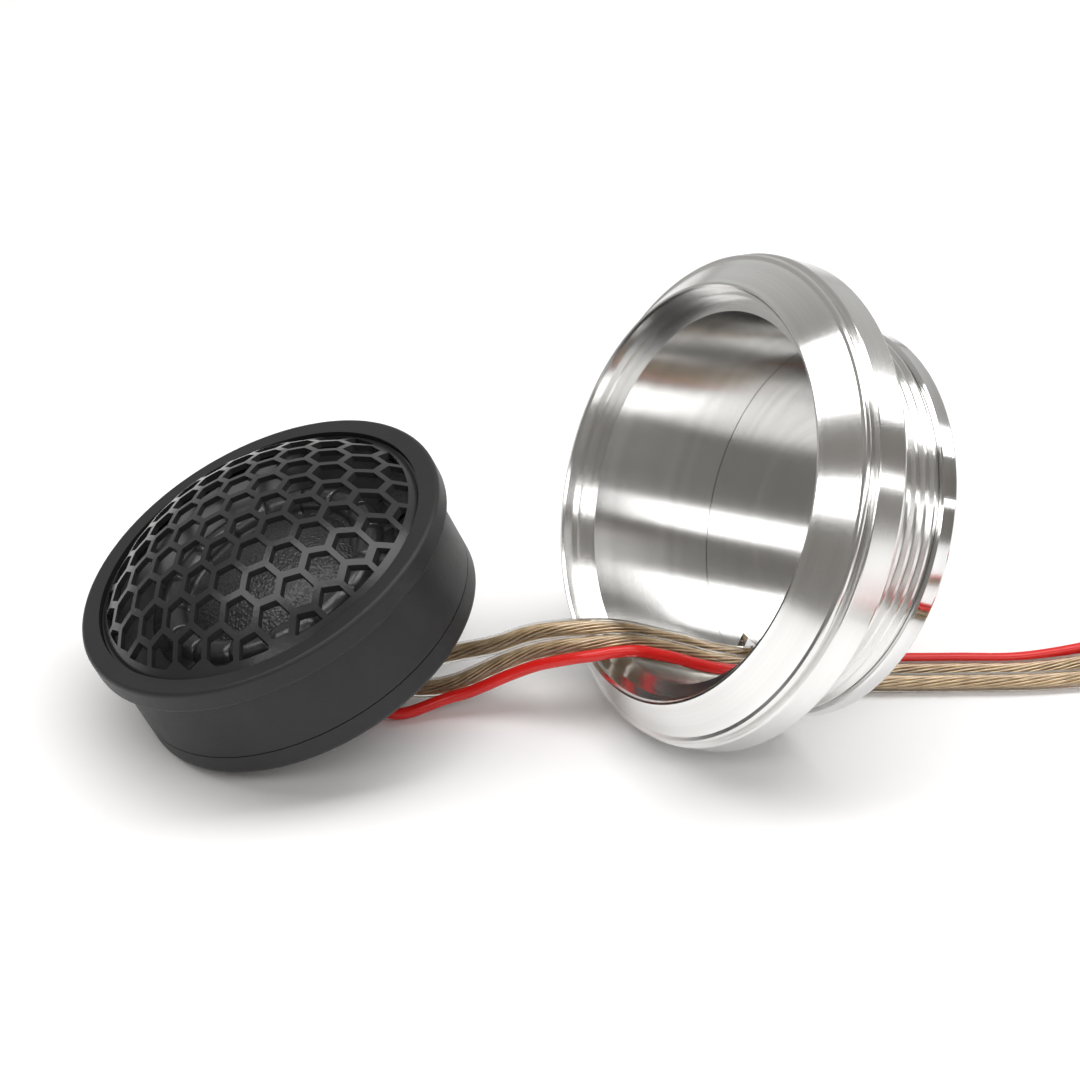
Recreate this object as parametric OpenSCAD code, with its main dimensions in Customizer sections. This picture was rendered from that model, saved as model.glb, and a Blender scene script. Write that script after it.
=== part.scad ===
// Car tweeter with its turned aluminium mounting cup and flat twin lead.
// The tweeter leans on the edge of its rear cover and the cup lies on its side.
// The lead runs from the tweeter through the cup and along the surface to a coil.

/* [Tweeter body] */
// Radius of the body and of its rear cover
body_r = 23.9; // [23:0.1:28]
// Radius of the front flange
flange_r = 25.6; // [25:0.1:30.8]
// Depth from the rear face to the front of the flange
body_depth = 16.6; // [16.2:0.1:24]
// Thickness of the front flange
flange_t = 3.3; // [2.4:0.1:4.4]
// Height of the rear cover, up to its seam
cover_h = 3.3; // [3:0.1:3.6]
// Wall thickness of the housing tube
wall = 1.45; // [1:0.05:2]
// Rounding of the cover's rear edge
rear_edge = 1; // [0.4:0.1:1.6]
// Rounding of the flange's edges
flange_edge = 0.6; // [0.2:0.1:1]

/* [Grille] */
// Radius of the grille opening
grille_r = 22.5; // [20:0.1:23]
// Rise of the grille above its rim
grille_rise = 9; // [4:0.1:12]
// Sheet thickness of the grille
grille_t = 0.8; // [0.5:0.1:1.2]
// Distance between the centres of neighbouring hexagons
hex_pitch = 4.5; // [3.6:0.1:6]
// Width of the web between two hexagons
web = 0.8; // [0.5:0.1:1.2]
// Turn of the hexagon pattern about the axis
hex_turn = 23; // [0:1:60]

/* [Diaphragm and motor] */
// Depth of the dome's rim below the front of the flange
dome_setback = 5; // [4.6:0.1:5.4]
// Rise of the soft dome
dome_rise = 4.6; // [3:0.1:5.5]
// Free travel of the dome each way
stroke = 0.4; // [0.2:0.05:0.5]
// Width of the surround's roll
roll_w = 3.4; // [2.6:0.1:3.8]
// Radius of the steel pole plate
pole_r = 11.3; // [9.4:0.1:11.6]
// Running gap on each side of the voice coil
coil_gap = 0.35; // [0.2:0.05:0.5]
// Thickness of the coil former and its winding together
coil_t = 0.8; // [0.6:0.1:1]
// Thickness of the magnet
magnet_t = 3.4; // [2.5:0.1:3.6]

/* [Mounting cup] */
// Radius of the cup's bore
bore_r = 24.2; // [24:0.1:29]
// Radius of the outer band, the cup's largest
band_r = 32.2; // [31:0.1:39]
// Wall from the bore to the thread crests
thread_wall = 1.6; // [1.5:0.1:3]
// Reach of the rear cap beyond the thread crests
cap_lip = 0.2; // [0:0.1:2]
// Length from the front lip to the back of the cap
cup_len = 23.6; // [19.6:0.1:29]
// Length of the head, from the front lip to its rear shoulder
head_len = 9.9; // [8.2:0.1:12]
// Pitch of the outer thread
thread_pitch = 1.5; // [1:0.25:2]
// Radial play between the flange and its recess
recess_play = 0.45; // [0.2:0.05:0.8]

/* [Twin lead] */
// Thickness of the flat lead, which is one conductor's diameter
wire_d = 2.6; // [2:0.1:3.2]
// Width of the flat lead
lead_w = 7; // [5:0.1:8]

/* [Resting pose] */
// Lean of the tweeter's axis from upright
lean = 24; // [18:1:30]

/* [Hidden] */
$fn = 96;

// Where the two bodies stand on the surface
tweeter_xy = [-26.2, -1.3];
lean_azimuth = 196;
cup_xy = [22, -2.9];
cup_azimuth = 25;

// Front of the tweeter: grille seat, chassis and surround, measured down from the flange
seat_r = grille_r + 0.4;
seat_play = 0.1;
rim_z = body_depth - 0.55;
band_h = 1.3;
dome_z = body_depth - dome_setback;
shelf_z = dome_z - 0.6;
shelf_t = 1.2;
shelf_w = 2.4;
dome_t = 0.5;
skin_t = 0.4;

// Motor, hung below the dome
plate_t = 2;
yoke_floor = 1.4;
lip_t = stroke + 0.2;
motor_top = dome_z - lip_t;
plate_z = motor_top - plate_t;
magnet_z = plate_z - magnet_t;
yoke_z = magnet_z - yoke_floor;
former_r = pole_r + coil_gap;
dome_r = former_r + coil_t / 2;
yoke_bore = former_r + coil_t + coil_gap;
yoke_r = yoke_bore + 2.5;
glue = 0.05;
roll_in = dome_r + 0.4;
roll_out = roll_in + roll_w;
surround_r = roll_out + 1.4;

// Rear cover, its screws and what it carries
seam = 0.15;
cover_t = 1.8;
pocket_r = body_r - 6.3;
spigot_t = 1.2;
boss_r = 2.9;
boss_ring = body_r - wall - boss_r + glue;
screw_r = 1;
head_r = 1.9;
screw_angles = [30, 150, 270];
lead_hole = [0, 3];
lead_play = 0.1;
grommet_r = lead_w / 2 + 1.4;
board = [13, 6, 1.2];
board_y = 9.4;
tab = [2.4, 5, 0.4];
tab_x = 3.5;
tab_z = cover_t + board.z;
tinsel_r = 0.25;
tinsel_y = pocket_r + 1.3;
chassis_lip = [surround_r + 0.1, dome_z + 0.4];
chassis_rim = [seat_r - 1.2, rim_z - band_h];
tinsel_z = chassis_lip.y + tinsel_r + 0.17 + (tinsel_y - chassis_lip.x)
    * (chassis_rim.y - chassis_lip.y) / (chassis_rim.x - chassis_lip.x);
inner_wire_r = 0.4;
conductor_x = [-2.2, 0.6];
lead_start_z = 2.45;

// Cup, from the front lip backwards
thread_r = bore_r + thread_wall;
cap_r = thread_r + cap_lip;
recess_r = max(flange_r + recess_play, bore_r + 1);
mouth_r = recess_r + 0.7;
lip_r = mouth_r + 0.75;
recess_depth = 1.9;
shelf_depth = flange_t + 0.1;
bevel_z = 3.8;
bevel_r = band_r - 1.2;
groove_z = 4.9;
band_z = 5.4;
cup_edge = 0.4;
cap_t = 1.2;
cap_rim = 2.5;
cap_joint = cup_len - cap_rim;
spigot_r = bore_r + 0.85;
root_r = thread_r - 0.6;
cap_slot = [4.3, lead_w + 1.4];

// Route of the lead's centre line and the roll of its flat side, from the grommet to the coil
route = [
    [-24.5, -0.8, 12.8, 0], [-23.6, -0.5, 10.6, 0], [-22.7, -0.3, 8.6, 0], [-21.2, 0.0, 6.2, 0],
    [-19.0, 0.0, 4.2, 0], [-16.3, -0.6, 3.0, 0], [-13.5, -1.4, 2.6, 5], [-10.5, -1.9, 2.9, 10],
    [-7.5, -2.0, 3.8, 20], [-4.6, -1.9, 5.2, 28], [-1.0, -2.0, 7.2, 32], [2.9, -2.4, 9.1, 32],
    [6.9, -3.3, 10.5, 26], [10.5, -4.1, 11.4, 16], [13.5, -4.2, 11.7, 6], [16.1, -3.8, 11.3, 0],
    [18.8, -3.1, 10.2, 0], [21.9, -2.1, 8.7, 0], [26.3, -0.8, 6.5, 0], [31.3, 1.5, 4.0, 0],
    [33.7, 2.3, 3.2, 10], [36.5, 2.7, 3.4, 55], [39.5, 2.9, 3.7, 100], [42.7, 3.0, 2.9, 140],
    [46.3, 3.0, 1.6, 175], [51.3, 3.0, 1.4, 180], [60.3, 3.1, 1.4, 180], [69.3, 3.3, 1.4, 180],
    [78.3, 4.2, 2.0, 195], [84.3, 5.3, 2.8, 220], [90.3, 6.9, 3.6, 250], [95.3, 8.3, 3.6, 270],
    [99.7, 9.5, 3.6, 270]];

// Coil of the rest of the lead, wound on edge
coil_c = [116.3, -27.5, 0];
coil_in = 31.1;
coil_out = 39.2;
tie_angle = 215;
tie_w = 4;
tie_t = 0.6;
end_angle = 72;
end_len = 8;

function unit(v) = v / norm(v);
function arc(c, r, from, to, n) =
    [for (i = [0:n]) c + r * [cos(from + (to - from) * i / n), sin(from + (to - from) * i / n)]];

// Height of the rear face's centre, so that the cover's rounded edge touches the surface
tweeter_z = (body_r - rear_edge) * sin(lean) - rear_edge * cos(lean) + rear_edge;
// The cup rests on the rear edge of its band and on the rear edge of its cap
cup_tilt = atan((band_r - cap_r) / (cup_len - head_len));
cup_z = (head_len - cup_edge) * sin(cup_tilt) + (band_r - cup_edge) * cos(cup_tilt) + cup_edge;

module tweeter_place()
    translate([tweeter_xy.x, tweeter_xy.y, tweeter_z]) rotate([0, lean, lean_azimuth]) children();

// The lead's side of the tweeter, with +Y towards the terminals
module wiring_place() tweeter_place() rotate(90) children();

module cup_place()
    translate([cup_xy.x, cup_xy.y, cup_z]) rotate([0, 90 + cup_tilt, cup_azimuth]) children();

module ring(r_out, r_in, h)
    difference() {
        cylinder(r = r_out, h = h);
        translate([0, 0, -1]) cylinder(r = r_in, h = h + 2);
    }

module rod(from, to, r) {
    d = to - from;
    translate(from) rotate([0, acos(d.z / norm(d)), atan2(d.y, d.x)])
        cylinder(r = r, h = norm(d), $fn = 24);
}

module at_screws() for (a = screw_angles) rotate(a) translate([boss_ring, 0, 0]) children();

module housing() color("#2b2c2f") tweeter_place() difference() {
    union() {
        rotate_extrude() polygon(concat(
            [[body_r - wall, cover_h + seam], [body_r, cover_h + seam],
             [body_r, body_depth - flange_t]],
            arc([flange_r - flange_edge, body_depth - flange_t + flange_edge], flange_edge, -90, 0, 4),
            arc([flange_r - flange_edge, body_depth - flange_edge], flange_edge, 0, 90, 6),
            [[seat_r, body_depth], [seat_r, shelf_z], [seat_r - shelf_w, shelf_z],
             [seat_r - shelf_w, shelf_z - shelf_t], [body_r - wall, shelf_z - shelf_t]]));
        at_screws() translate([0, 0, cover_h + 1.7]) cylinder(r = boss_r, h = 2.8);
    }
    at_screws() translate([0, 0, cover_h]) cylinder(r = screw_r + glue, h = 6);
}

module hexagon_prisms() {
    reach = ceil(grille_r / (hex_pitch * sin(60))) + 1;
    rotate(hex_turn) for (j = [-reach:reach], i = [-2 * reach:2 * reach]) {
        x = hex_pitch * (i + j / 2 - 0.2);
        y = hex_pitch * (j * sin(60) + 0.35);
        if (norm([x, y]) < grille_r)
            translate([x, y, rim_z - 0.5]) rotate(30)
                cylinder(r = (hex_pitch - web) / sqrt(3), h = grille_rise + 2, $fn = 6);
    }
}

module grille() color("#3a3a3c") tweeter_place() {
    shell_r = (grille_r * grille_r + grille_rise * grille_rise) / (2 * grille_rise);
    shell_z = rim_z + grille_rise - shell_r;
    difference() {
        union() {
            intersection() {
                translate([0, 0, shell_z]) sphere(r = shell_r, $fn = 200);
                translate([0, 0, rim_z - grille_t]) cylinder(r = grille_r, h = grille_rise + 2);
            }
            translate([0, 0, rim_z - band_h])
                cylinder(r = seat_r - seat_play, h = band_h - 0.2);
        }
        translate([0, 0, shell_z]) sphere(r = shell_r - grille_t, $fn = 200);
        translate([0, 0, rim_z - 2]) cylinder(r = grille_r - 0.9, h = 2 - grille_t + 0.1);
        intersection() {
            hexagon_prisms();
            translate([0, 0, rim_z - 1]) cylinder(r = grille_r - 0.9, h = grille_rise + 4);
        }
    }
}

module chassis() color("#1f1f21") tweeter_place() difference() {
    rotate_extrude() polygon([
        [yoke_r + glue, motor_top - 3], [yoke_r + 1, motor_top - 3], [yoke_r + 1, shelf_z],
        [seat_r - seat_play, shelf_z], [seat_r - seat_play, rim_z - band_h],
        chassis_rim, chassis_lip, [surround_r + 0.1, dome_z],
        [yoke_r - 0.9, dome_z], [yoke_r - 0.9, motor_top], [yoke_r + glue, motor_top]]);
    rotate(90) for (x = [-tab_x, tab_x]) translate([x, tinsel_y, shelf_z - 1])
        cylinder(r = 3 * tinsel_r, h = 4);
}

module surround() color("#161617") tweeter_place() {
    mid = (roll_in + roll_out) / 2;
    outer = roll_w / 2 + skin_t / 2;
    inner = roll_w / 2 - skin_t / 2;
    rotate_extrude() polygon(concat(
        [[dome_r, dome_z]], arc([mid, dome_z], inner, 180, 0, 12),
        [[surround_r, dome_z], [surround_r, dome_z + skin_t]],
        arc([mid, dome_z + skin_t], outer, 0, 180, 12), [[dome_r, dome_z + skin_t]]));
}

module dome() color("#262627") tweeter_place() translate([0, 0, dome_z]) {
    r = (dome_r * dome_r + dome_rise * dome_rise) / (2 * dome_rise);
    difference() {
        intersection() {
            translate([0, 0, dome_rise - r]) sphere(r = r);
            cylinder(r = dome_r + 1, h = dome_rise + 1);
        }
        translate([0, 0, dome_rise - r]) sphere(r = r - dome_t);
    }
    ring(dome_r, dome_r - dome_t, skin_t);
}

module voice_former() color("#b98b4a") tweeter_place()
    translate([0, 0, plate_z - 0.7]) ring(dome_r, former_r, dome_z - plate_z + 0.7);

module voice_winding() color("#a0521f") tweeter_place()
    translate([0, 0, plate_z - 0.5]) ring(former_r + coil_t, dome_r, plate_t + 1);

module dome_pad() color("#dedbd2") tweeter_place()
    translate([0, 0, motor_top]) cylinder(r = pole_r - 2, h = 1);

module pole_plate() color("#8d9296") tweeter_place()
    translate([0, 0, plate_z]) cylinder(r = pole_r, h = plate_t);

module magnet() color("#b9bcc0") tweeter_place()
    translate([0, 0, magnet_z]) cylinder(r = pole_r - 0.4, h = magnet_t);

module yoke() color("#7c8085") tweeter_place() translate([0, 0, yoke_z]) difference() {
    cylinder(r = yoke_r, h = motor_top - yoke_z);
    translate([0, 0, yoke_floor]) cylinder(r = yoke_bore, h = motor_top);
}

module terminal_board() color("#2f6b46") wiring_place()
    translate([-board.x / 2, board_y, cover_t]) cube(board);

module terminal(x) color("#c9a441") wiring_place()
    translate([x - tab.x / 2, board_y, tab_z]) cube(tab);

module tinsel(x) color("#b5651d") wiring_place() {
    low = tab_z + tab.z + tinsel_r;
    rod([x, board_y + tab.y - 1, low], [x, tinsel_y + tinsel_r, low], tinsel_r);
    rod([x, tinsel_y, low], [x, tinsel_y, tinsel_z], tinsel_r);
    rod([x, tinsel_y, tinsel_z], [x, surround_r - 0.3, dome_z + 0.7], tinsel_r);
}

module inner_wire(from_x, to_x) color("#b5651d") wiring_place() {
    high = tab_z + 0.15;
    start = [from_x, lead_hole.y, high];
    rod([from_x, lead_hole.y, lead_start_z], start, inner_wire_r);
    rod(start, [to_x, board_y - 0.2, high], inner_wire_r);
}

module rear_cover() color("#2b2c2f") tweeter_place() difference() {
    rotate_extrude() polygon(concat(
        [[0, 0]], arc([body_r - rear_edge, rear_edge], rear_edge, -90, 0, 8),
        [[body_r, cover_h], [body_r - wall - glue, cover_h], [body_r - wall - glue, cover_h + 1.5],
         [body_r - wall - spigot_t, cover_h + 1.5], [body_r - wall - spigot_t, cover_h],
         [pocket_r, cover_h], [pocket_r, cover_t], [0, cover_t]]));
    rotate(90) translate([lead_hole.x, lead_hole.y, -1]) cylinder(r = grommet_r + glue, h = 5);
    at_screws() {
        translate([0, 0, -1]) cylinder(r = screw_r + 0.15, h = 6);
        translate([0, 0, -1]) cylinder(r = head_r + 0.2, h = 2.2);
    }
}

module cover_screws() color("#55585c") tweeter_place() at_screws() difference() {
    union() {
        translate([0, 0, 0.2]) cylinder(r = head_r, h = 1);
        translate([0, 0, 0.2]) cylinder(r = screw_r, h = cover_h + 3.8);
    }
    for (a = [0, 90]) rotate(a) translate([-1.3, -0.2, -0.3]) cube([2.6, 0.4, 0.9]);
}

module grommet() color("#1a1a1b") wiring_place() translate([lead_hole.x, lead_hole.y, 0])
    difference() {
        union() {
            translate([0, 0, -2]) cylinder(r1 = grommet_r - 0.5, r2 = grommet_r, h = 2);
            cylinder(r = grommet_r, h = cover_t);
            translate([0, 0, -0.8]) cylinder(r = grommet_r + 1.1, h = 0.8);
            translate([0, 0, cover_t]) cylinder(r = grommet_r + 0.8, h = 0.6);
        }
        cube([lead_w + 2 * lead_play, wire_d + 2 * lead_play, 8], center = true);
    }

module cup_body() color("#c9ccce") cup_place() {
    threads = floor((cap_joint - head_len - 1.2) / thread_pitch);
    first = cap_joint - 0.3 - threads * thread_pitch;
    rotate_extrude() polygon(concat(
        [[mouth_r, 0.25], [mouth_r + 0.25, 0], [lip_r - 0.2, 0], [lip_r, 0.2], [bevel_r, bevel_z]],
        arc([bevel_r + 0.25, bevel_z + 0.5], 0.5, -60, 60, 6),
        [[bevel_r + 0.2, groove_z], [bevel_r + 0.2, groove_z + 0.35]],
        arc([band_r - 0.3, band_z + 0.3], 0.3, -90, 0, 3),
        arc([band_r - cup_edge, head_len - cup_edge], cup_edge, 0, 90, 4),
        [[root_r, head_len], [root_r, first]],
        [for (i = [0:threads - 1]) each [
            [thread_r, first + (i + 0.35) * thread_pitch],
            [thread_r, first + (i + 0.55) * thread_pitch],
            [root_r, first + (i + 0.9) * thread_pitch], [root_r, first + (i + 1) * thread_pitch]]],
        [[root_r, cap_joint - 0.1], [spigot_r, cap_joint - 0.1],
         [spigot_r, cup_len - cap_t - glue], [bore_r, cup_len - cap_t - glue],
         [bore_r, shelf_depth], [recess_r, shelf_depth], [recess_r, recess_depth],
         [mouth_r, recess_depth]]));
}

module rear_cap() color("#c9ccce") cup_place() difference() {
    rotate_extrude() polygon(concat(
        [[0, cup_len - cap_t], [spigot_r + glue, cup_len - cap_t], [spigot_r + glue, cap_joint],
         [cap_r - 0.2, cap_joint], [cap_r, cap_joint + 0.2]],
        arc([cap_r - cup_edge, cup_len - cup_edge], cup_edge, 0, 90, 4),
        [[0, cup_len]]));
    intersection() {
        translate([bore_r - cap_slot.x, -cap_slot.y / 2, cap_joint])
            cube([cap_slot.x + 1, cap_slot.y, cap_rim + 1]);
        translate([0, 0, cap_joint]) cylinder(r = bore_r - 0.1, h = cap_rim + 1);
    }
}

// One flat eight-sided section of the lead, square to the route
function point(i) = [route[i].x, route[i].y, route[i].z];
function section(i, last) =
    let (ahead = unit(point(min(i + 1, last)) - point(max(i - 1, 0))),
         side = unit(cross([0, 0, 1], ahead)), up = cross(ahead, side), roll = route[i][3],
         s = side * cos(roll) + up * sin(roll), u = up * cos(roll) - side * sin(roll),
         w = lead_w / 2, t = wire_d / 2)
    [for (p = [[w, -t / 2], [w, t / 2], [w * 0.7, t], [-w * 0.7, t],
               [-w, t / 2], [-w, -t / 2], [-w * 0.7, -t], [w * 0.7, -t]])
        point(i) + s * p.x + u * p.y];

module lead() color("#b98d5a") {
    last = len(route) - 1;
    polyhedron(
        points = [for (i = [0:last]) each section(i, last)],
        faces = concat(
            [[for (k = [0:7]) k]],
            [for (i = [0:last - 1], k = [0:7]) each [
                [i * 8 + k, (i + 1) * 8 + k, (i + 1) * 8 + (k + 1) % 8],
                [i * 8 + k, (i + 1) * 8 + (k + 1) % 8, i * 8 + (k + 1) % 8]]],
            [[for (k = [7:-1:0]) last * 8 + k]]));
}

module tie_slab(z, h) rotate(tie_angle)
    translate([coil_in - 2, -tie_w / 2, z]) cube([coil_out - coil_in + 4, tie_w, h]);

module lead_coil() color("#b98d5a") translate(coil_c) difference() {
    ring(coil_out, coil_in, lead_w);
    tie_slab(-1, tie_t + 1);
}

module coil_tie() color("#202022") translate(coil_c) difference() {
    intersection() {
        ring(coil_out + tie_t, coil_in - tie_t, lead_w + tie_t);
        tie_slab(0, lead_w + tie_t);
    }
    translate([0, 0, tie_t]) ring(coil_out, coil_in, lead_w - tie_t);
}

module tinned_ends() color("#c07a45") translate(coil_c) difference() {
    for (z = [wire_d / 2, lead_w - wire_d / 2])
        rotate(end_angle) translate([coil_in - 0.3, 0, z]) rotate([0, 90, -110])
            cylinder(r = 0.85, h = end_len, $fn = 24);
    ring(coil_out, coil_in, lead_w);
}

housing();
grille();
chassis();
surround();
dome();
voice_former();
voice_winding();
dome_pad();
pole_plate();
magnet();
yoke();
terminal_board();
terminal(tab_x);  // terminal_pos
terminal(-tab_x);  // terminal_neg
tinsel(tab_x);  // tinsel_pos
tinsel(-tab_x);  // tinsel_neg
inner_wire(conductor_x[1], tab_x);  // inner_wire_pos
inner_wire(conductor_x[0], -tab_x);  // inner_wire_neg
rear_cover();
cover_screws();
grommet();
cup_body();
rear_cap();
lead();
lead_coil();
coil_tie();
tinned_ends();
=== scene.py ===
"""Visual model of a car tweeter, its turned aluminium mounting cup and its flat twin lead."""

import math

import bmesh
import bpy
import numpy as np
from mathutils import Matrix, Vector


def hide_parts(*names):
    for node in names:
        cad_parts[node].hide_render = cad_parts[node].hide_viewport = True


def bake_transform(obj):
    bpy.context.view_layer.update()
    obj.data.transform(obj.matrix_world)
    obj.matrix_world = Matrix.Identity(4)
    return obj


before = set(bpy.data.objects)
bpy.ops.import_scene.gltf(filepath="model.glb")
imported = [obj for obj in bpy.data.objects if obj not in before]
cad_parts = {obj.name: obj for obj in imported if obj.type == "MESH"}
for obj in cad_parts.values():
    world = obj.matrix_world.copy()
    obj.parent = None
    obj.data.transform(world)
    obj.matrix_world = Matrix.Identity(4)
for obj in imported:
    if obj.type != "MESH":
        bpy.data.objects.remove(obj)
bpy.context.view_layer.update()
MM = 0.001
TURN = 2 * math.pi


# ---------------------------------------------------------------- camera, light and floor

CAMERA_PLACE = Vector((3.85, -331.9, 229.5)) * MM
CAMERA_PITCH = 31.72
CAMERA_LENS, CAMERA_SENSOR = 100, 36
# Colours of the room towards the camera's side, at the sides and on the far side
ROOM_NEAR, ROOM_SIDE, ROOM_FAR = (0.25, 0.24, 0.225, 1), (0.2, 0.185, 0.17, 1), (0.62, 0.62, 0.61, 1)
# Place, turn about the vertical in degrees, length and width in metres, and power in watts
STRIPS = {
    "overhead": ((0.45, 0.155, 0.6), 15.9, (2.2, 0.3), 8.2),
    "front": ((1.0, -0.53, 0.6), 4.9, (3.2, 0.24), 9.2)}
FLOOR_HALF = 6.0


def place_camera():
    """A long lens looking along +Y and down, from the height and pitch fitted to the photograph."""
    data = bpy.data.cameras.new("camera")
    data.lens, data.sensor_width = CAMERA_LENS, CAMERA_SENSOR
    data.clip_start, data.clip_end = 0.01, 50
    camera = bpy.data.objects.new("camera", data)
    camera.location = CAMERA_PLACE
    camera.rotation_euler = (math.radians(90 - CAMERA_PITCH), 0, 0)
    bpy.context.scene.collection.objects.link(camera)
    bpy.context.scene.camera = camera


def strip(name, location, turn, size, power):
    """A rectangular panel facing the floor, turned about the vertical."""
    data = bpy.data.lights.new(name, "AREA")
    data.shape, data.size, data.size_y = "RECTANGLE", size[0], size[1]
    data.energy = power
    light = bpy.data.objects.new(name, data)
    light.location = location
    light.rotation_euler = (0, 0, math.radians(turn))
    bpy.context.scene.collection.objects.link(light)


def studio():
    """A white floor in a dim grey room, lit by two long strip panels above the objects."""
    world = bpy.data.worlds.new("studio")
    bpy.context.scene.world = world
    world.use_nodes = True
    tree = world.node_tree
    coords = tree.nodes.new("ShaderNodeTexCoord")
    split = tree.nodes.new("ShaderNodeSeparateXYZ")
    ramp = tree.nodes.new("ShaderNodeValToRGB")
    near, side = ramp.color_ramp.elements
    near.position, near.color = 0.0, ROOM_NEAR
    side.position, side.color = 0.5, ROOM_SIDE
    ramp.color_ramp.elements.new(1.0).color = ROOM_FAR
    tree.links.new(coords.outputs["Generated"], split.inputs[0])
    shift = tree.nodes.new("ShaderNodeMapRange")
    shift.inputs["From Min"].default_value, shift.inputs["From Max"].default_value = -1.0, 1.0
    tree.links.new(split.outputs["Y"], shift.inputs["Value"])
    tree.links.new(shift.outputs["Result"], ramp.inputs[0])
    tree.links.new(ramp.outputs[0], tree.nodes["Background"].inputs["Color"])
    tree.nodes["Background"].inputs["Strength"].default_value = 1.0

    for name, values in STRIPS.items():
        strip(name, *values)

    mesh = bpy.data.meshes.new("floor")
    corners = [(-1, -1), (1, -1), (1, 1), (-1, 1)]
    mesh.from_pydata([(x * FLOOR_HALF, y * FLOOR_HALF, 0) for x, y in corners], [], [(0, 1, 2, 3)])
    floor = bpy.data.objects.new("floor", mesh)
    bpy.context.scene.collection.objects.link(floor)
    shader = Material("floor_white")
    shader.set(base=(0.93, 0.93, 0.93), roughness=0.9, specular=0.1)
    floor.data.materials.append(shader.material)


# ---------------------------------------------------------------- materials

class Material:
    """A Principled shader with helpers for the procedural detail that feeds it."""

    def __init__(self, name):
        self.material = bpy.data.materials.new(name)
        self.material.use_nodes = True
        self.tree = self.material.node_tree
        self.shader = self.tree.nodes["Principled BSDF"]
        self.place = self.node("ShaderNodeTexCoord").outputs["Object"]

    def node(self, kind, **values):
        made = self.tree.nodes.new(kind)
        for key, value in values.items():
            setattr(made, key, value)
        return made

    def link(self, out, into):
        self.tree.links.new(out, into)

    def set(self, base=None, roughness=None, metallic=None, specular=None, coat=None,
            coat_roughness=None, anisotropic=None, rotation=None, transmission=None, ior=None):
        values = {
            "Base Color": base and (*base, 1),
            "Roughness": roughness,
            "Metallic": metallic,
            "Specular IOR Level": specular,
            "Coat Weight": coat,
            "Coat Roughness": coat_roughness,
            "Anisotropic": anisotropic,
            "Anisotropic Rotation": rotation,
            "Transmission Weight": transmission,
            "IOR": ior}
        for name, value in values.items():
            if value is not None:
                self.shader.inputs[name].default_value = value

    def noise(self, scale, detail=3.0, where=None):
        made = self.node("ShaderNodeTexNoise")
        made.inputs["Scale"].default_value = scale
        made.inputs["Detail"].default_value = detail
        self.link(where or self.place, made.inputs["Vector"])
        return made.outputs["Fac"]

    def spread(self, value, low, high):
        made = self.node("ShaderNodeMapRange")
        made.inputs["To Min"].default_value, made.inputs["To Max"].default_value = low, high
        self.link(value, made.inputs["Value"])
        return made.outputs["Result"]

    def ramp(self, value, stops):
        made = self.node("ShaderNodeValToRGB")
        elements = made.color_ramp.elements
        for element, (at, colour) in zip(elements, stops):
            element.position, element.color = at, (*colour, 1)
        self.link(value, made.inputs[0])
        return made.outputs[0]

    def maths(self, operation, a, b=None):
        made = self.node("ShaderNodeMath", operation=operation)
        for socket, value in zip(made.inputs, (a, b)):
            if isinstance(value, float):
                socket.default_value = value
            elif value is not None:
                self.link(value, socket)
        return made.outputs[0]

    def vector(self, operation, a, b=None):
        made = self.node("ShaderNodeVectorMath", operation=operation)
        for socket, value in zip(made.inputs, (a, b)):
            if isinstance(value, Vector):
                socket.default_value = value
            elif value is not None:
                self.link(value, socket)
        return made.outputs["Value"] if operation == "DOT_PRODUCT" else made.outputs[0]

    def bump(self, height, strength, distance):
        made = self.node("ShaderNodeBump")
        made.inputs["Strength"].default_value = strength
        made.inputs["Distance"].default_value = distance
        self.link(height, made.inputs["Height"])
        if self.shader.inputs["Normal"].links:
            self.link(self.shader.inputs["Normal"].links[0].from_socket, made.inputs["Normal"])
        self.link(made.outputs[0], self.shader.inputs["Normal"])

    def feed(self, value, socket):
        self.link(value, self.shader.inputs[socket])

    def tone(self, scale, dark_side, light_side):
        """Soft patches of two colours over the surface."""
        stops = [(0.3, dark_side), (0.7, light_side)]
        self.feed(self.ramp(self.noise(scale), stops), "Base Color")

    def roughen(self, scale, rough):
        """Roughness that wanders between two values."""
        self.feed(self.spread(self.noise(scale), *rough), "Roughness")


def shaded(colour, factor):
    return tuple(factor * c for c in colour)


def black_plastic(name, base, rough, grain, strength):
    made = Material(name)
    made.set(specular=0.32)
    made.tone(90, base, shaded(base, 1.35))
    made.roughen(600, rough)
    made.bump(made.noise(grain, 2.0), strength, 0.00008)
    return made.material


def dome_cloth(name, coated):
    """Crinkled coated cloth, or the smooth shiny skin of the surround."""
    made = Material(name)
    made.set(base=(0.022, 0.022, 0.023), specular=0.6, coat=0.25 if coated else 0.6, coat_roughness=0.25)
    cells = made.node("ShaderNodeTexVoronoi", feature="SMOOTH_F1")
    cells.inputs["Scale"].default_value = 2600
    made.link(made.place, cells.inputs["Vector"])
    made.roughen(700, (0.26, 0.4))
    made.bump(cells.outputs["Distance"], 0.75 if coated else 0.08, 0.0003)
    return made.material


# How far a step outwards moves the turning marks, against the same step along the axis
RADIUS_SHARE = 1.618


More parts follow.
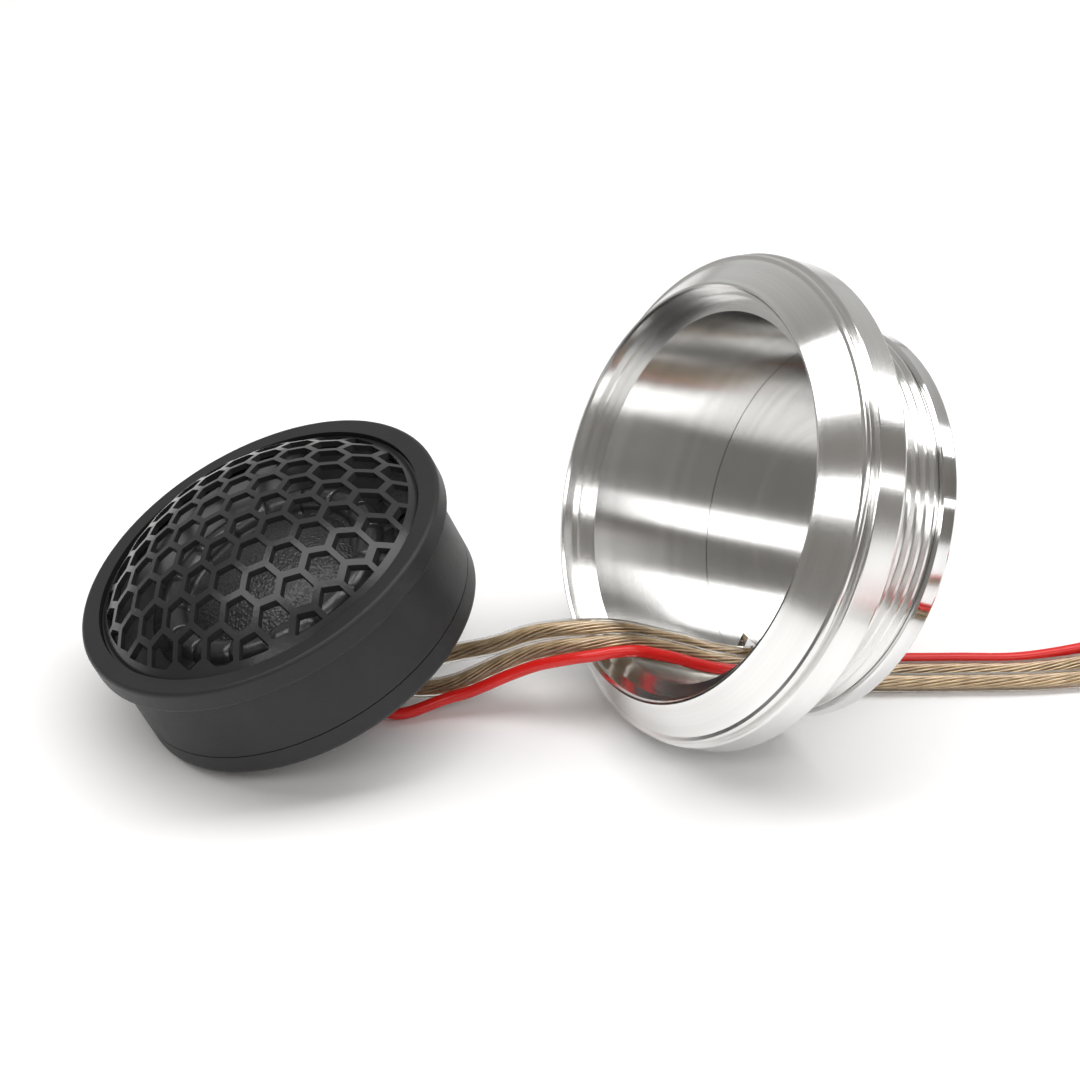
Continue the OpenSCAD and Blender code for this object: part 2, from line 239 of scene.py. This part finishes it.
def turned_aluminium(name, centre, axis, rough, marks, shade=(0.84, 0.835, 0.825)):
    """Metal turned on a lathe: fine rings round the axis, stretched highlights and faint bands."""
    made = Material(name)
    made.set(metallic=1.0, anisotropic=0.8, rotation=0.25)
    offset = made.vector("SUBTRACT", made.place, centre)
    made.feed(made.vector("NORMALIZE", made.vector("CROSS_PRODUCT", offset, axis)), "Tangent")
    along = made.vector("DOT_PRODUCT", offset, axis)
    squared = made.vector("DOT_PRODUCT", offset, offset)
    radius = made.maths("SQRT", made.maths("SUBTRACT", squared, made.maths("MULTIPLY", along, along)))
    tool_path = made.maths("ADD", along, made.maths("MULTIPLY", radius, RADIUS_SHARE))
    place = made.node("ShaderNodeCombineXYZ")
    made.link(tool_path, place.inputs[0])
    rings = made.noise(5200, 4.0, place.outputs[0])
    bands = made.noise(420, 2.0, place.outputs[0])
    made.feed(made.ramp(bands, [(0.25, shaded(shade, 0.86)), (0.75, shade)]), "Base Color")
    made.feed(made.spread(rings, *rough), "Roughness")
    made.bump(rings, marks, 0.00004)
    return made.material


def plain_metal(name, base, rough):
    made = Material(name)
    made.set(metallic=1.0)
    made.tone(300, base, shaded(base, 0.85))
    made.roughen(900, rough)
    return made.material


def plain_colour(name, base, rough, specular=0.5, grain=0.0):
    made = Material(name)
    made.set(specular=specular)
    made.tone(200, base, shaded(base, 0.88))
    made.roughen(500, rough)
    if grain:
        made.bump(made.noise(1500), grain, 0.0001)
    return made.material


def clear_pvc(name):
    made = Material(name)
    made.set(transmission=1.0, ior=1.46, specular=0.5)
    made.tone(60, (1, 0.99, 0.96), (0.97, 0.94, 0.88))
    made.roughen(250, (0.03, 0.12))
    return made.material


def copper_strand(name):
    made = Material(name)
    made.set(metallic=0.85)
    made.tone(450, (0.5, 0.36, 0.22), (0.78, 0.62, 0.42))
    made.roughen(900, (0.25, 0.42))
    return made.material


# ---------------------------------------------------------------- the lead

LEAD_WIDTH, WIRE_D = 7.0, 2.6
LEAD_LENGTH = 0.600
# Centre line and roll of the lead from the grommet on, as in the CAD source, in mm and degrees
ROUTE = [
    (-23.6, -0.5, 10.6, 0), (-22.7, -0.3, 8.6, 0), (-21.2, 0.0, 6.2, 0),
    (-19.0, 0.0, 4.2, 0), (-16.3, -0.6, 3.0, 0), (-13.5, -1.4, 2.6, 5), (-10.5, -1.9, 2.9, 10),
    (-7.5, -2.0, 3.8, 20), (-4.6, -1.9, 5.2, 28), (-1.0, -2.0, 7.2, 32), (2.9, -2.4, 9.1, 32),
    (6.9, -3.3, 10.5, 26), (10.5, -4.1, 11.4, 16), (13.5, -4.2, 11.7, 6), (16.1, -3.8, 11.3, 0),
    (18.8, -3.1, 10.2, 0), (21.9, -2.1, 8.7, 0), (26.3, -0.8, 6.5, 0), (31.3, 1.5, 4.0, 0),
    (33.7, 2.3, 3.2, 10), (36.5, 2.7, 3.4, 55), (39.5, 2.9, 3.7, 100), (42.7, 3.0, 2.9, 140),
    (46.3, 3.0, 1.6, 175), (51.3, 3.0, 1.4, 180), (60.3, 3.1, 1.4, 180), (69.3, 3.3, 1.4, 180),
    (78.3, 4.2, 2.0, 195), (84.3, 5.3, 2.8, 220), (90.3, 6.9, 3.6, 250), (95.3, 8.3, 3.6, 270),
    (99.7, 9.5, 3.6, 270)]
RUN_IN = [(104.3, 10.2, 3.6, 270), (110.0, 10.45, 3.55, 270)]
SPLINE_STEP = 0.125
COIL_CENTRE = np.array([116.3, -27.5])
COIL_START, COIL_PITCH, COIL_HEIGHT = 37.9, 2.7, 3.55
TURN_POINTS = 72
# The lead is split in two where it first passes this x, inside the cup
SPLIT_X = 33.0

BUNDLE_R, STRAND_R, STRAND_COUNT, STRAND_PITCH = 0.68, 0.17, 9, 26
RIB_R, RIB_LIFT = 0.8, 0.5
# Offsets of the two wires and the rib from the centre line, across the flat lead
A_ACROSS, B_ACROSS, RIB_ACROSS = 2.2, -0.6, -2.7
# Where the flat lead is split near the tweeter: x of start, widest and end, and the move there
A_FAN = ((-22.0, -9.5, 0.0), (0, 2.1, 1.0))
RIB_FAN = ((-22.5, -16.0, -7.5), (0, -2.8, -1.4))
FAN_END_X = 5
# A direction that no line of the lead follows, to set a line's sideways direction by
NEAR_VERTICAL = [0.03, 0.02, 1.0]


def lead_route():
    """Points and rolls of the whole lead: the chosen route, the run-in and the coil's turns."""
    rows = np.array([*ROUTE, *RUN_IN], float)
    fine = [spline(rows, t) for t in np.arange(0, len(rows) - 1, SPLINE_STEP)] + [rows[-1]]
    length = sum(np.linalg.norm(b[:3] - a[:3]) for a, b in zip(fine, fine[1:]))
    step = TURN / TURN_POINTS
    turn = 0.0
    while length < LEAD_LENGTH / MM:
        angle = math.pi / 2 - turn
        radius = COIL_START - COIL_PITCH * turn / TURN
        x, y = COIL_CENTRE + radius * np.array([math.cos(angle), math.sin(angle)])
        point = np.array([x, y, COIL_HEIGHT, 270.0])
        length += np.linalg.norm(point[:3] - fine[-1][:3])
        fine.append(point)
        turn += step
    return np.array(fine)


def spline(rows, t):
    """Catmull-Rom through the rows at parameter t."""
    i = min(int(t), len(rows) - 2)
    u = t - i
    p0, p1 = rows[max(i - 1, 0)], rows[i]
    p2, p3 = rows[i + 1], rows[min(i + 2, len(rows) - 1)]
    return 0.5 * (2 * p1 + (p2 - p0) * u + (2 * p0 - 5 * p1 + 4 * p2 - p3) * u ** 2
                  + (3 * p1 - p0 - 3 * p2 + p3) * u ** 3)


def unit(rows):
    return rows / np.linalg.norm(rows, axis=1)[:, None]


def frames(path):
    """Point, sideways and upward directions of the flat section at each row of the path."""
    points = path[:, :3]
    ahead = unit(np.gradient(points, axis=0))
    side = unit(np.cross([0, 0, 1], ahead))
    up = np.cross(ahead, side)
    roll = np.radians(path[:, 3])[:, None]
    return points, side * np.cos(roll) + up * np.sin(roll), up * np.cos(roll) - side * np.sin(roll)


def hump(x, low, top, high):
    """0 outside low to high, rising smoothly to 1 at top."""
    t = np.where(x < top, (x - low) / (top - low), (high - x) / (high - top))
    t = np.clip(t, 0, 1)
    return t * t * (3 - 2 * t)


def offset_line(path, across, fan=None, lift=0.0):
    """A line beside the lead's centre, with its own spread where the flat lead is split."""
    points, side, up = frames(path)
    line = points + side * across - up * (lift * (1 - np.cos(np.radians(path[:, 3]))) / 2)[:, None]
    if fan:
        (low, top, high), move = fan
        before_cup = np.arange(len(path)) < np.argmax(path[:, 0] > FAN_END_X)
        line = line + np.outer(hump(path[:, 0], low, top, high) * before_cup, move)
    return line


def around(line):
    """Two directions square to the line at each of its points."""
    ahead = unit(np.gradient(line, axis=0))
    side = unit(np.cross(ahead, NEAR_VERTICAL))
    return side, np.cross(side, ahead)


def run_along(line):
    """Distance from the line's start to each of its points."""
    return np.r_[0, np.cumsum(np.linalg.norm(np.diff(line, axis=0), axis=1))]


def sweep(name, lines, radius, sides, material):
    """Closed round tubes along lines, in one mesh."""
    verts, faces = [], []
    for line in lines:
        side, up = around(line)
        base = len(verts)
        for p, s, u in zip(line, side, up):
            for k in range(sides):
                a = TURN * k / sides
                verts.append((p + radius * (math.cos(a) * s + math.sin(a) * u)) * MM)
        last = len(line) - 1
        for i in range(last):
            for k in range(sides):
                a, b = base + i * sides + k, base + i * sides + (k + 1) % sides
                faces.append((a, b, b + sides, a + sides))
        faces.append(tuple(base + k for k in reversed(range(sides))))
        faces.append(tuple(base + last * sides + k for k in range(sides)))
    return new_mesh(name, verts, faces, material)


def new_mesh(name, verts, faces, material):
    """A smooth object of one material, with its faces turned outwards."""
    mesh = bpy.data.meshes.new(name)
    mesh.from_pydata([tuple(v) for v in verts], [], faces)
    mesh.validate()
    work = bmesh.new()
    work.from_mesh(mesh)
    bmesh.ops.recalc_face_normals(work, faces=work.faces)
    work.to_mesh(mesh)
    work.free()
    mesh.materials.append(material)
    mesh.shade_smooth()
    made = bpy.data.objects.new(name, mesh)
    bpy.context.scene.collection.objects.link(made)
    return made


def resample(line, spacing):
    """The line again at an even spacing, in millimetres."""
    steps = run_along(line)
    at = np.linspace(0, steps[-1], max(2, int(steps[-1] / spacing)))
    return np.stack([np.interp(at, steps, line[:, k]) for k in range(line.shape[1])], 1)


def strands(line):
    """Helical strands round one line, with one straight strand in the middle."""
    line = resample(line, 1.0)
    side, up = around(line)
    run = run_along(line)
    made = [line]
    for k in range(STRAND_COUNT):
        a = (TURN * (k / STRAND_COUNT + run / STRAND_PITCH))[:, None]
        made.append(line + (BUNDLE_R - STRAND_R) * (np.cos(a) * side + np.sin(a) * up))
    return made


def build_lead(looks):
    """The lead in two halves that meet inside the cup."""
    whole = lead_route()
    cut = int(np.argmax(whole[:, 0] > SPLIT_X))
    halves = {"front": whole[:cut + 1], "rear": whole[cut:]}
    made = {}
    for half, path in halves.items():
        split = half == "front"
        a_line = offset_line(path, A_ACROSS, A_FAN if split else None)
        b_line = offset_line(path, B_ACROSS)
        rib_line = offset_line(path, RIB_ACROSS, RIB_FAN if split else None, RIB_LIFT)
        jacket = sweep(f"lead_jacket_{half}", [a_line, b_line], WIRE_D / 2, 16, looks["clear"])
        wires = sweep(f"lead_strands_{half}", strands(a_line) + strands(b_line), STRAND_R, 6,
                      looks["copper"])
        rib = sweep(f"lead_rib_{half}", [rib_line], RIB_R, 12, looks["red"])
        made[half] = (jacket, [wires, rib], path)
    return made


def finish_lead(made):
    """Hide the lead and its coil from model.glb, and bake each half's transform."""
    front, front_pieces, front_path = made["front"]
    rear, rear_pieces, rear_path = made["rear"]
    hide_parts("lead")
    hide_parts("lead_coil")
    for piece in [front, *front_pieces]:
        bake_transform(piece)
    for piece in [rear, *rear_pieces]:
        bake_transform(piece)


# ---------------------------------------------------------------- looks of the parts

def assign(node, material):
    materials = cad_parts[node].data.materials
    materials.clear()
    materials.append(material)


def edge_bevel(node, width):
    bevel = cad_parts[node].modifiers.new("edges", "BEVEL")
    bevel.width, bevel.segments, bevel.limit_method = width, 2, "ANGLE"
    bevel.angle_limit = math.radians(40)
    bevel.harden_normals = False


# The tweeter's own axes, and the centre of its rear face, as in the CAD source
LEAN, LEAN_AZIMUTH = math.radians(24), math.radians(196)
TWEETER_REAR = np.array([-26.2, -1.3, 9.4007])
TWEETER_X = np.array([math.cos(LEAN) * math.cos(LEAN_AZIMUTH), math.cos(LEAN) * math.sin(LEAN_AZIMUTH),
                      -math.sin(LEAN)])
TWEETER_Y = np.array([-math.sin(LEAN_AZIMUTH), math.cos(LEAN_AZIMUTH), 0.0])
TWEETER_FRONT = np.cross(TWEETER_X, TWEETER_Y)
# Section of the surround: height and radius of the dome's edge, the roll, the rim, the thickness
DOME_Z, DOME_R, ROLL_IN, ROLL_OUT, SURROUND_R, SKIN = 11.6, 12.05, 12.45, 15.85, 17.25, 0.4
SECTORS, SECTOR_STEPS = 16, 6


def tweeter_point(radius, angle, height):
    """A point round the tweeter's axis, in millimetres in the shared frame."""
    across = TWEETER_X * math.cos(angle) + TWEETER_Y * math.sin(angle)
    return TWEETER_REAR + across * radius + TWEETER_FRONT * height


def arc(radius, height, turn, count=14):
    """A half circle over the middle of the roll, in the surround's section."""
    middle = (ROLL_IN + ROLL_OUT) / 2
    angles = np.linspace(math.pi, 0, count) if turn > 0 else np.linspace(0, math.pi, count)
    return [(middle + radius * math.cos(a), height + radius * math.sin(a)) for a in angles]


def build_surround(material):
    """The surround in sectors: its inner edge meets the dome's edge, its outer edge the chassis."""
    half = (ROLL_OUT - ROLL_IN) / 2
    section = [(DOME_R, DOME_Z), *arc(half - SKIN / 2, DOME_Z, 1), (SURROUND_R, DOME_Z),
               (SURROUND_R, DOME_Z + SKIN), *arc(half + SKIN / 2, DOME_Z + SKIN, -1),
               (DOME_R, DOME_Z + SKIN)]
    count, steps = len(section), SECTOR_STEPS
    for k in range(SECTORS):
        middle = TURN * k / SECTORS
        angles = middle + np.linspace(-math.pi, math.pi, steps + 1) / SECTORS
        verts = [tweeter_point(r, a, z) * MM for a in angles for r, z in section]
        faces = [(i * count + j, i * count + (j + 1) % count, (i + 1) * count + (j + 1) % count,
                  (i + 1) * count + j) for i in range(steps) for j in range(count)]
        faces += [tuple(reversed(range(count))), tuple(steps * count + j for j in range(count))]
        sector = new_mesh(f"surround_{k + 1:02d}", verts, faces, material)
        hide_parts("surround")
        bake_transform(sector)


# The cup rests on the rims of its band and its cap: their radii and places along the axis, in mm
BAND_R, CAP_R = 32.2, 26.0
HEAD_LEN, CUP_LEN = 9.9, 23.6
CUP_TILT = math.atan((BAND_R - CAP_R) / (CUP_LEN - HEAD_LEN))
CUP_AZIMUTH = math.radians(25)
CUP_AXIS = Vector((math.cos(CUP_TILT) * math.cos(CUP_AZIMUTH), math.cos(CUP_TILT) * math.sin(CUP_AZIMUTH),
                   -math.sin(CUP_TILT)))
CUP_LIP = Vector((22.0, -2.9, 33.288)) * MM
GRILLE_EDGE = 0.00016

place_camera()
studio()

LOOKS = {
    "clear": clear_pvc("clear_pvc"),
    "copper": copper_strand("copper_strands"),
    "red": plain_colour("red_pvc", (0.72, 0.015, 0.012), (0.18, 0.32)),
    "body": black_plastic("satin_black_body", (0.013, 0.013, 0.014), (0.4, 0.48), 2500, 0.3),
    "grille": black_plastic("grille_black", (0.02, 0.02, 0.021), (0.18, 0.27), 1800, 0.2),
    "chassis": black_plastic("chassis_black", (0.018, 0.018, 0.019), (0.18, 0.26), 900, 0.05),
    "dome": dome_cloth("dome_cloth", True),
    "surround": dome_cloth("surround_skin", False),
    "cup": turned_aluminium("turned_aluminium", CUP_LIP, CUP_AXIS, (0.14, 0.24), 0.3),
    "cap": turned_aluminium("turned_cap", CUP_LIP, CUP_AXIS, (0.07, 0.13), 0.1, (0.8, 0.8, 0.795)),
    "steel": plain_metal("motor_steel", (0.6, 0.61, 0.62), (0.25, 0.4)),
    "nickel": plain_metal("magnet_nickel", (0.75, 0.74, 0.72), (0.1, 0.2)),
    "brass": plain_metal("brass_tab", (0.8, 0.6, 0.25), (0.2, 0.35)),
    "winding": plain_metal("enamelled_wire", (0.62, 0.3, 0.12), (0.25, 0.4)),
    "former": plain_colour("former_film", (0.62, 0.4, 0.18), (0.3, 0.4)),
    "felt": plain_colour("pad_felt", (0.75, 0.73, 0.68), (0.85, 0.95), 0.1, 0.6),
    "board": plain_colour("board_green", (0.05, 0.22, 0.1), (0.3, 0.4)),
    "rubber": plain_colour("black_rubber", (0.02, 0.02, 0.02), (0.6, 0.75), 0.3, 0.2),
    "screw": plain_metal("screw_steel", (0.1, 0.1, 0.11), (0.3, 0.45)),
    "tinned": plain_metal("tinned_copper", (0.75, 0.72, 0.68), (0.25, 0.4)),
}

lead = build_lead(LOOKS)

NODE_LOOKS = {
    "housing": "body", "rear_cover": "body", "grille": "grille", "chassis": "chassis",
    "dome": "dome", "voice_former": "former", "voice_winding": "winding",
    "dome_pad": "felt", "pole_plate": "steel", "magnet": "nickel", "yoke": "steel",
    "terminal_board": "board", "terminal_pos": "brass", "terminal_neg": "brass",
    "tinsel_pos": "screw", "tinsel_neg": "screw", "inner_wire_pos": "copper",
    "inner_wire_neg": "copper", "cover_screws": "screw", "grommet": "rubber", "cup_body": "cup",
    "rear_cap": "cap", "coil_tie": "rubber", "tinned_ends": "tinned"}
for node, look in NODE_LOOKS.items():
    assign(node, LOOKS[look])

edge_bevel("grille", GRILLE_EDGE)

build_surround(LOOKS["surround"])
finish_lead(lead)

bpy.context.scene.view_settings.view_transform = "Standard"
